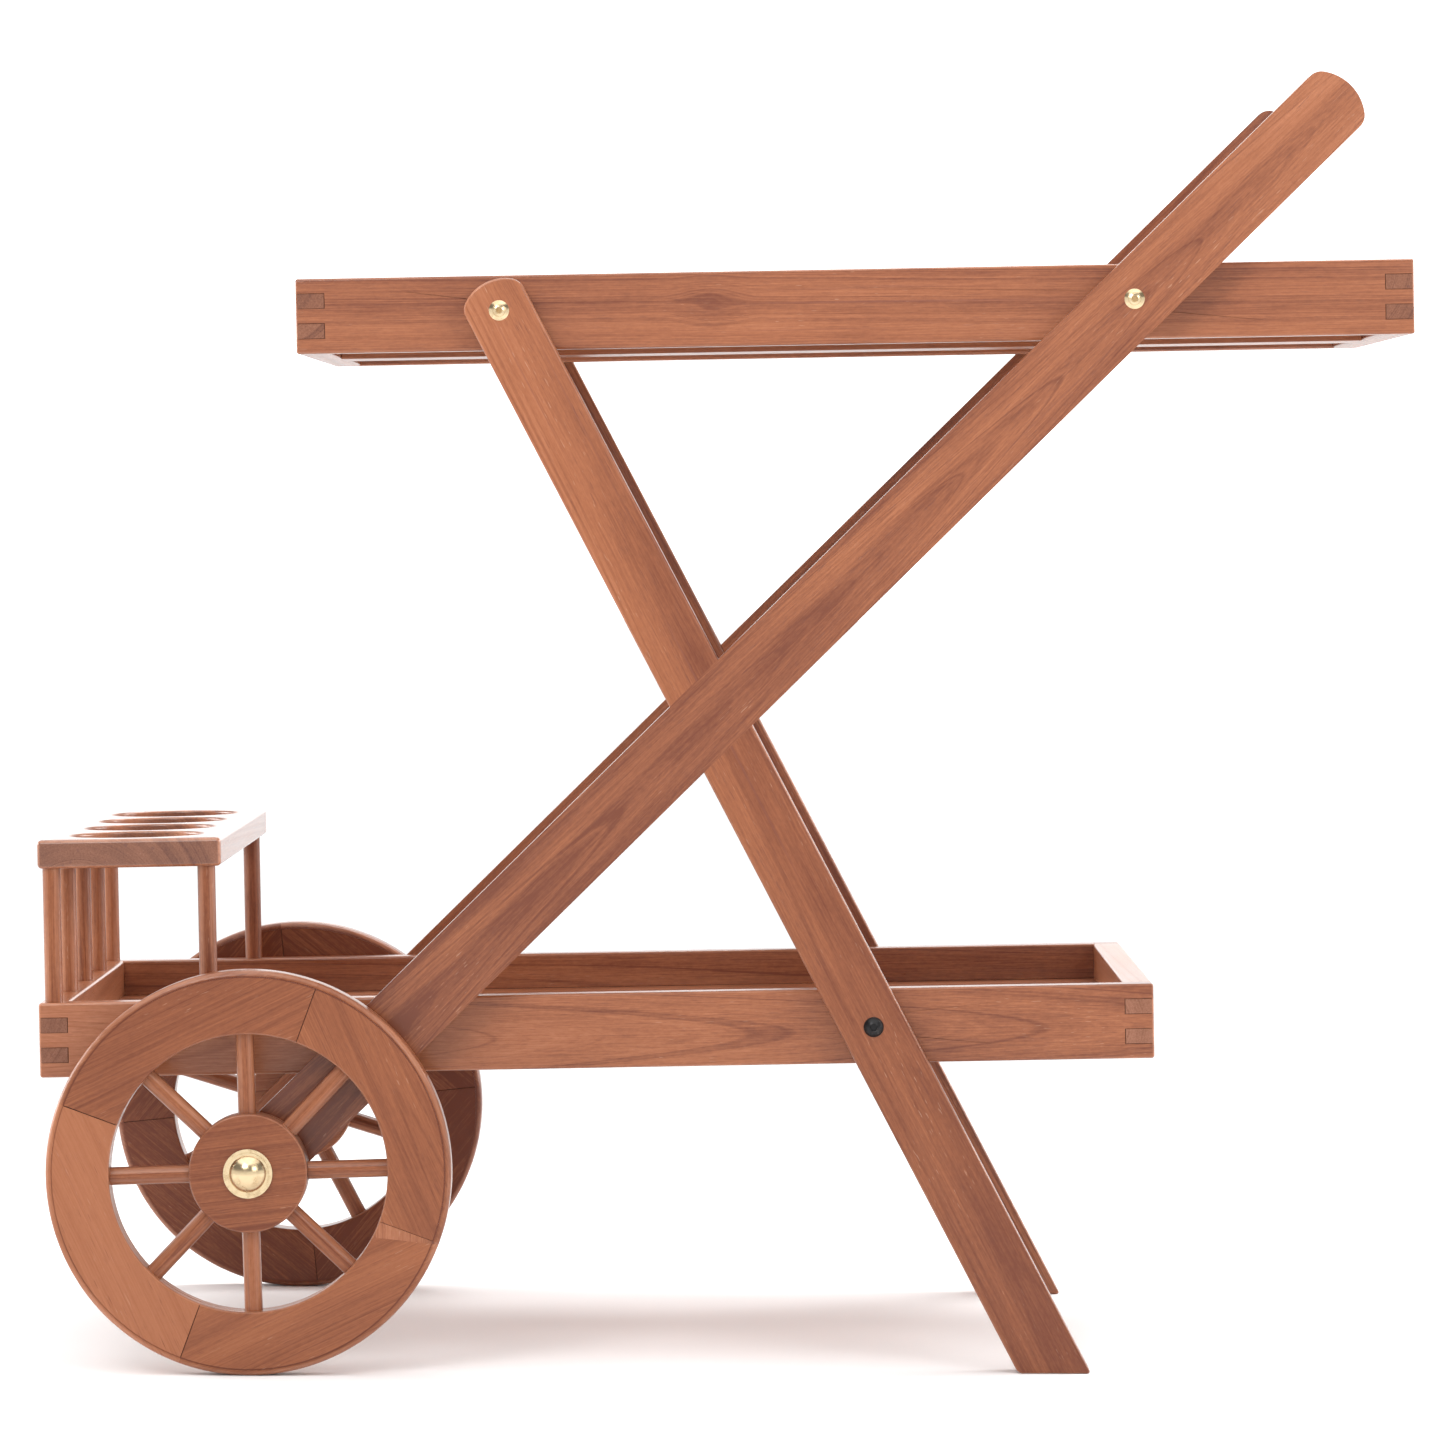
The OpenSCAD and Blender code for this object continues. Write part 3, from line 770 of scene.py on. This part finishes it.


# How a piece differs from plain teak, by node or by family of numbered nodes.
# tone: lighter above 0, darker below; painted_shade_slope: more tone per metre along the
# grain, a painted gradient of light and shade along the piece; bands: strips as (place
# across, half width, tone); knots: grain that bends round a point, as (place along,
# place across, reach, bend); stave: width of the edge-glued strips in a panel; pith: place
# of the log's middle across the grain; taper: how fast the rings leave it, for arched
# grain; contrast: strength of the grain; wander: how far the rings drift; coat: gloss of
# the oil finish
PLAIN = {"tone": 0.0, "painted_shade_slope": 0.0, "bands": (), "knots": (), "stave": 0.0,
         "pith": None, "taper": 0.012, "contrast": 1.0, "wander": 0.006, "coat": 0.5}
CHARACTER = {
    "near_beam": {"tone": -0.23, "painted_shade_slope": 0.42, "contrast": 0.85, "wander": 0.010,
                  "pith": (0.003, -0.030), "taper": 0.055,
                  "bands": ((-0.0125, 0.006, 0.14), (0.001, 0.005, -0.08))},
    "near_leg": {"tone": -0.26, "painted_shade_slope": 0.42, "contrast": 0.75, "coat": 0.3,
                 "bands": ((-0.019, 0.012, 0.12),)},
    # Darker far beam and far leg: painted shade on the far side of the frame
    "far_beam": {"tone": -0.24},
    "far_leg": {"tone": -0.12},
    "upper_near_rail": {"tone": -0.10, "painted_shade_slope": 0.10, "contrast": 0.8, "wander": 0.011,
                        "knots": ((-0.100, -0.004, 0.030, 0.007),)},
    "lower_near_rail": {"tone": 0.04, "painted_shade_slope": -0.60, "pith": (0.004, -0.034),
                        "taper": 0.050},
    # Darker lower far rail, darker still towards its right end: painted shade inside the lower tray
    "lower_far_rail": {"tone": -0.20, "painted_shade_slope": -0.24},
    "near_felloe": {"tone": -0.13, "contrast": 0.62, "coat": 0.2},
    "near_felloe_1": {"tone": -0.26},
    "near_felloe_2": {"tone": 0.16, "contrast": 0.4},
    "near_felloe_3": {"tone": -0.08},
    # Darker far wheel rim: painted shade on the far side
    "far_felloe": {"tone": -0.40, "coat": 0.2},
    "near_spoke": {"tone": -0.12, "coat": 0.2},
    "far_spoke": {"tone": -0.16, "coat": 0.2},
    "near_hub": {"tone": -0.26, "contrast": 0.75, "coat": 0.2},
    "rack_board": {"tone": -0.08, "coat": 0.9},
    "rack_post": {"tone": -0.08, "coat": 0.1},
    "rack_post_6": {"tone": -0.32},
    "rack_post_7": {"tone": -0.32},
    "upper_floor": {"stave": 0.086},
    "lower_floor": {"stave": 0.086},
    "upper_centre_board": {"tone": 0.05},
    "lower_wheel_end": {"tone": 0.06},
    "lower_handle_end": {"tone": 0.22},
}


def stave_look(g, across, width, away, tone):
    """Moves each strip of a panel to its own wood, and darkens the glue lines."""
    strips = g.math("DIVIDE", across, width)
    strip = g.math("FLOOR", strips)
    away = g.math("MULTIPLY_ADD", strip, 7.3, away)
    tone = g.vary(tone, g.noise_1d(strip, 3.7, 0.0), 0.36)
    beside = g.math("PINGPONG", strips, 0.5)
    return away, g.math("ADD", tone, g.span(beside, 0.001, 0.004, -0.30, 0.0))


def band_tone(g, parts, tone, bands):
    """Adds long lighter or darker strips that sway a little."""
    for offset, half_width, change in bands:
        sway = g.noise_1d(parts[0], 5.0, 2.0, 0.5)
        place = g.math("MULTIPLY_ADD", sway, half_width, parts[1])
        gap = g.apart(place, offset + half_width / 2)
        strip = g.span(gap, half_width * 1.5, half_width * 0.5, 0.0, change)
        tone = g.math("ADD", tone, strip)
    return tone


def off_axis(g, where, axis):
    """Distance from an axis along Y through a point."""
    return g.length(g.scaled(g.vector_math("SUBTRACT", where, axis), (1.0, 0.0, 1.0)))


def painted_rim_shadow(g, where, centre, tone):
    """Painted shadow: darkens the fine line where the rim's rounded edge starts, for the shade at the step."""
    off = g.apart(off_axis(g, where, centre), WHEEL_R - RIM_ROUND)
    return g.math("ADD", tone, g.span(off, 0.0007, 0.0002, 0.0, -0.42))


def knot_look(g, here, bend, tone, knots):
    """Bends the rings to both sides of each knot, and darkens its middle."""
    for along_x, across_y, reach, size in knots:
        gap = g.vector_math("SUBTRACT", here, (along_x, across_y, 0.0))
        side = g.span(g.axes(gap)[1], -0.35 * reach, 0.35 * reach, -size, size)
        gap = g.length(g.scaled(gap, (0.8, 1.0, 0.6)))
        bend = g.math("MULTIPLY_ADD", g.span(gap, reach, 0.0), side, bend)
        tone = g.math("ADD", tone, g.span(gap, reach, 0.0, 0.0, -0.10))
        tone = g.math("ADD", tone, g.span(gap, reach * 0.14, 0.0, 0.0, -0.22))
    return bend, tone


def teak_material(name, grain, normal, centre, rim=None):
    """Teak whose grain runs along one direction; name sets where it was cut from.

    rim is the wheel's centre, for a piece of the rim, which has a fine line of painted shadow.
    """
    chance = random.Random(name)
    family = re.sub("_[0-9]+$", "", name)
    look = {**PLAIN, **CHARACTER.get(family, {}), **CHARACTER.get(name, {})}
    material, g, shader = plain_material(f"teak_{name}")
    angles = grain_axes(grain, normal).to_euler("XYZ")
    where = g.node("ShaderNodeTexCoord").outputs
    moved = g.vector_math("SUBTRACT", where["Object"], centre)
    here = g.node("ShaderNodeMapping", {0: moved, "Rotation": angles}).outputs[0]
    facing = g.node("ShaderNodeMapping", {0: where["Normal"], "Rotation": angles},
                    vector_type="NORMAL").outputs[0]
    parts = g.axes(here)
    away = chance.uniform(-40, 40)
    # Tone changes along the grain: a painted gradient of light and shade along the piece
    tone = g.math("MULTIPLY_ADD", parts[0], look["painted_shade_slope"],
                  look["tone"] + chance.uniform(-0.04, 0.04))
    bend = g.math("MULTIPLY_ADD", parts[0], look["taper"], chance.uniform(-3.0, 3.0))
    pith = look["pith"] or (chance.uniform(-0.05, 0.05), -chance.uniform(0.03, 0.09))
    if look["stave"]:
        away, tone = stave_look(g, parts[1], look["stave"], away, tone)
    tone = band_tone(g, parts, tone, look["bands"])
    # A fine line of painted shadow where the rim's rounded edge starts
    if rim:
        tone = painted_rim_shadow(g, where["Object"], rim, tone)
    bend, tone = knot_look(g, here, bend, tone, look["knots"])
    start = g.node("ShaderNodeCombineXYZ", {0: away}).outputs[0]
    teak = g.node("ShaderNodeGroup")
    teak.node_tree = TEAK
    g.put(teak.inputs["Grain"], g.vector_math("ADD", here, start))
    g.put(teak.inputs["Facing"], facing)
    teak.inputs["Pith"].default_value = (0.0, pith[0], pith[1])
    teak.inputs["Wander"].default_value = look["wander"]
    g.put(teak.inputs["Shift"], bend)
    g.put(teak.inputs["Tone"], tone)
    teak.inputs["Contrast"].default_value = look["contrast"]
    g.put(shader.inputs["Base Color"], teak.outputs["Color"])
    g.put(shader.inputs["Roughness"], teak.outputs["Roughness"])
    shader.inputs["Specular IOR Level"].default_value = 0.25
    shader.inputs["Coat Weight"].default_value = look["coat"]
    shader.inputs["Coat Roughness"].default_value = 0.20
    g.put(shader.inputs["Normal"], g.bump(teak.outputs["Height"], 0.35, 0.00018))
    return material


def seam_material():
    """Painted shade in the fine grooves between glued pieces: a dark colour for the shade that falls in them."""
    material, g, shader = plain_material("teak_seam")
    where = g.node("ShaderNodeTexCoord").outputs["Object"]
    cloud = g.noise(where, 260.0, 3.0, 0.6)
    colour = g.mix(g.span(cloud, 0.35, 0.70), SEAM_SHADE_DARK, SEAM_SHADE_LIGHT)
    g.put(shader.inputs["Base Color"], colour)
    g.put(shader.inputs["Roughness"], g.math("MULTIPLY_ADD", cloud, 0.25, 0.55))
    shader.inputs["Specular IOR Level"].default_value = 0.2
    return material


def dress(node, material, seam=None):
    """Gives a CAD node one material, and the joint chamfers in it a second one."""
    mesh = NODES[node].data
    mesh.materials.clear()
    mesh.materials.append(material)
    if seam:
        mesh.materials.append(seam)
    mesh.polygons.foreach_set("material_index", [0] * len(mesh.polygons))


def wood_pieces():
    """Dresses every wooden CAD part in teak with the grain along the piece."""
    tray_up = Vector(MOUNTS["bottle_hole_1"]["axis"])
    slope = tray_up.cross(Y_AXIS) * -1
    seam = seam_material()
    for side in SIDES:
        for bar in (f"{side}_beam", f"{side}_leg"):
            dress(bar, teak_material(bar, bar_axis(bar)[1], Y_AXIS, middle(bar)))
        hub = f"{side}_hub"
        dress(hub, teak_material(hub, X_AXIS + Z_AXIS * 0.12, Y_AXIS, middle(hub)))
        centre = wheel_centre(side)
        for felloe in numbered(f"{side}_felloe"):
            a0, a1 = joint_angles(felloe, side)
            a = (a0 + a1) / 2
            chord = Vector((-math.sin(a), 0, math.cos(a)))
            look = teak_material(felloe, chord, Y_AXIS, middle(felloe), centre)
            dress(felloe, look, seam)
        for spoke in numbered(f"{side}_spoke"):
            radial = middle(spoke) - centre
            dress(spoke, teak_material(spoke, radial, Y_AXIS, middle(spoke)))
    dress("near_rim_wedge", teak_material("near_rim_wedge", Z_AXIS, Y_AXIS,
                                          middle("near_rim_wedge")))
    for tray in ("upper", "lower"):
        for part in ("near_rail", "far_rail"):
            node = f"{tray}_{part}"
            dress(node, teak_material(node, slope, Y_AXIS, middle(node)), seam)
        for part in ("wheel_end", "handle_end"):
            node = f"{tray}_{part}"
            dress(node, teak_material(node, Y_AXIS, slope, middle(node)), seam)
        for part in ("floor", "centre_board"):
            node = f"{tray}_{part}"
            dress(node, teak_material(node, along(node), tray_up, middle(node)))
    dress("rack_board", teak_material("rack_board", Y_AXIS, tray_up, middle("rack_board")))
    for post in numbered("rack_post"):
        dress(post, teak_material(post, tray_up, Y_AXIS, middle(post)))


def head_axes(node):
    """A point on the axis of the bolts at each end of the trolley."""
    points = [v.co for v in NODES[node].data.vertices]
    split = middle(node).x
    found = []
    for group in ([p for p in points if p.x < split], [p for p in points if p.x > split]):
        x = (min(p.x for p in group) + max(p.x for p in group)) / 2
        z = (min(p.z for p in group) + max(p.z for p in group)) / 2
        found.append(Vector((x, 0, z)))
    return found


def brass_material(axes):
    """Pale turned brass: fine lathe marks, clouds of tarnish, and dark bolt recesses."""
    material, g, shader = plain_material("brass")
    where = g.node("ShaderNodeTexCoord").outputs["Object"]
    cloud = g.noise(where, 170.0, 3.0, 0.55)
    marks = g.stretched_noise(where, (900.0, 120.0, 900.0), 3.0, 0.6)
    tarnish = g.span(cloud, 0.42, 0.72)
    for axis in axes:
        off = g.vary(off_axis(g, where, axis), cloud, 0.0012)
        recess = g.span(off, BOLT_RECESS_R * 1.1, BOLT_RECESS_R * 0.8, 0.0, 2.2)
        groove = g.span(g.apart(off, BOLT_RECESS_R * 1.9), 0.0006, 0.0001, 0.0, 0.9)
        tarnish = g.math("ADD", g.math("ADD", tarnish, recess), groove)
    colour = g.mix(g.math("MULTIPLY", tarnish, 0.35, clamp=True), BRASS, TARNISH)
    g.put(shader.inputs["Base Color"], colour)
    shader.inputs["Metallic"].default_value = 1.0
    rough = g.vary(g.math("MULTIPLY_ADD", tarnish, 0.10, 0.20), marks, 0.16)
    g.put(shader.inputs["Roughness"], rough)
    g.put(shader.inputs["Normal"], g.bump(marks, 0.25, 0.00006))
    return material


def black_steel_material():
    """Blackened steel: a thin dark coat with slightly worn, brighter specks."""
    material, g, shader = plain_material("black_steel")
    where = g.node("ShaderNodeTexCoord").outputs["Object"]
    cloud = g.noise(where, 210.0, 4.0, 0.6)
    specks = g.noise(where, 1400.0, 2.0, 0.6)
    rub = g.math("MULTIPLY", g.span(cloud, 0.50, 0.72), g.span(specks, 0.45, 0.62))
    g.put(shader.inputs["Base Color"], g.mix(rub, BLACKENED, RUBBED))
    shader.inputs["Metallic"].default_value = 0.6
    g.put(shader.inputs["Roughness"], g.math("MULTIPLY_ADD", cloud, 0.26, 0.22))
    g.put(shader.inputs["Normal"], g.bump(specks, 0.2, 0.00005))
    return material


def axle_steel_material():
    """Bright drawn bar, with fine lines along its length."""
    material, g, shader = plain_material("axle_steel")
    where = g.node("ShaderNodeTexCoord").outputs["Object"]
    lines = g.stretched_noise(where, (1500.0, 22.0, 1500.0), 3.0, 0.6)
    cloud = g.noise(where, 60.0, 3.0, 0.5)
    colour = g.mix(g.span(cloud, 0.40, 0.70), BRIGHT_STEEL, DULL_STEEL)
    g.put(shader.inputs["Base Color"], colour)
    shader.inputs["Metallic"].default_value = 1.0
    rough = g.math("MULTIPLY_ADD", cloud, 0.10, g.vary(0.30, lines, 0.22))
    g.put(shader.inputs["Roughness"], rough)
    g.put(shader.inputs["Normal"], g.bump(lines, 0.25, 0.00005))
    return material


def metal_pieces():
    """Gives each metal CAD part the finish that its CAD material is named after."""
    finishes = {"brass": brass_material(head_axes("brass_bolts")),
                "black_steel": black_steel_material(),
                "axle_steel": axle_steel_material()}
    for node, obj in NODES.items():
        for slot, finish in finishes.items():
            if obj.data.materials and obj.data.materials[0].name.startswith(slot):
                dress(node, finish)


# ---- Floor, light and camera ----

FLOOR_R = 30.0
FLOOR_DARK = (0.89, 0.89, 0.89, 1.0)
FLOOR_LIGHT = (0.93, 0.93, 0.93, 1.0)
WHITE = (1.0, 1.0, 1.0, 1.0)
LENS_MM = 173.36
CAMERA_PLACE = (0.0168, -5.0625, 0.6042)
# How far the camera is turned to its left, down and round its own axis, in degrees
CAMERA_TURN = (0.213, 1.83, 0.21)


def floor():
    """A wide pale disc under the wheels and feet."""
    bm = bmesh.new()
    bmesh.ops.create_circle(bm, cap_ends=True, radius=FLOOR_R, segments=128)
    mesh = bpy.data.meshes.new("floor")
    bm.to_mesh(mesh)
    bm.free()
    obj = bpy.data.objects.new("floor", mesh)
    bpy.context.scene.collection.objects.link(obj)
    material, g, shader = plain_material("pale_floor")
    where = g.node("ShaderNodeTexCoord").outputs["Object"]
    cloud = g.noise(where, 1.5, 3.0, 0.5)
    g.put(shader.inputs["Base Color"], g.mix(cloud, FLOOR_DARK, FLOOR_LIGHT))
    shader.inputs["Roughness"].default_value = 0.9
    shader.inputs["Specular IOR Level"].default_value = 0.0
    mesh.materials.append(material)


def surround():
    """A white studio: bright overhead, at the horizon and behind the trolley."""
    world = bpy.data.worlds.new("studio")
    world.use_nodes = True
    bpy.context.scene.world = world
    g = Graph(world.node_tree)
    parts = g.axes(g.node("ShaderNodeTexCoord").outputs["Generated"])
    horizon = g.span(parts[2], 0.16, 0.26, 1.04, 0.25)
    far_side = g.span(parts[1], 0.25, -0.15, 1.7, 0.0)
    behind = g.math("MULTIPLY", far_side, g.span(parts[2], 0.50, 0.25))
    overhead = g.span(parts[2], 0.64, 0.78, 0.0, 2.05)
    bright = g.math("MAXIMUM", g.math("MAXIMUM", horizon, behind), overhead)
    background = world.node_tree.nodes["Background"]
    g.put(background.inputs["Strength"], bright)
    background.inputs["Color"].default_value = WHITE


def soft_box(name, place, aim, size, energy, spread):
    """A rectangular light; energy is in watts and spread in degrees."""
    data = bpy.data.lights.new(name, "AREA")
    data.shape = "RECTANGLE"
    data.size, data.size_y = size
    data.spread = math.radians(spread)
    data.energy = energy
    obj = bpy.data.objects.new(name, data)
    obj.location = place
    turn = (Vector(aim) - obj.location).to_track_quat("-Z", "Y")
    obj.rotation_euler = turn.to_euler()
    bpy.context.scene.collection.objects.link(obj)


def soft_boxes():
    """Two in front, one at each end, and one high behind for the upward faces."""
    soft_box("front_left", (-0.9, -2.4, 2.0), (0.15, -0.25, 0.95), (1.2, 1.0), 6.2, 62)
    soft_box("front_right", (1.4, -2.4, 1.5), (0.1, -0.25, 0.75), (1.2, 1.0), 2.7, 62)
    soft_box("handle_end", (2.9, 0.6, 1.1), (0.0, 0.0, 0.45), (1.6, 1.4), 19.0, 90)
    soft_box("wheel_end", (-2.9, 0.6, 1.1), (0.0, 0.0, 0.45), (1.6, 1.4), 15.0, 90)
    soft_box("high_back", (0.5, 1.6, 2.6), (-0.1, 0.0, 0.5), (1.8, 1.2), 9.0, 90)


def camera():
    """Almost square on to the near side, between the trays, looking a little down."""
    data = bpy.data.cameras.new("camera")
    data.sensor_fit = "HORIZONTAL"
    data.sensor_width = 36.0
    data.lens = LENS_MM
    obj = bpy.data.objects.new("camera", data)
    yaw, pitch, roll = (math.radians(a) for a in CAMERA_TURN)
    turn = (Matrix.Rotation(yaw, 3, "Z") @ Matrix.Rotation(math.pi / 2 - pitch, 3, "X")
            @ Matrix.Rotation(roll, 3, "Z"))
    obj.matrix_world = Matrix.Translation(CAMERA_PLACE) @ turn.to_4x4()
    bpy.context.scene.collection.objects.link(obj)
    bpy.context.scene.camera = obj


shape_trays()
shape_bars()
shape_rack()
shape_wheels()
for wooden in NODES:
    if NODES[wooden].modifiers:
        finish_shading(wooden)
wood_pieces()
metal_pieces()
floor()
surround()
soft_boxes()
camera()
bpy.context.scene.view_settings.view_transform = "Standard"
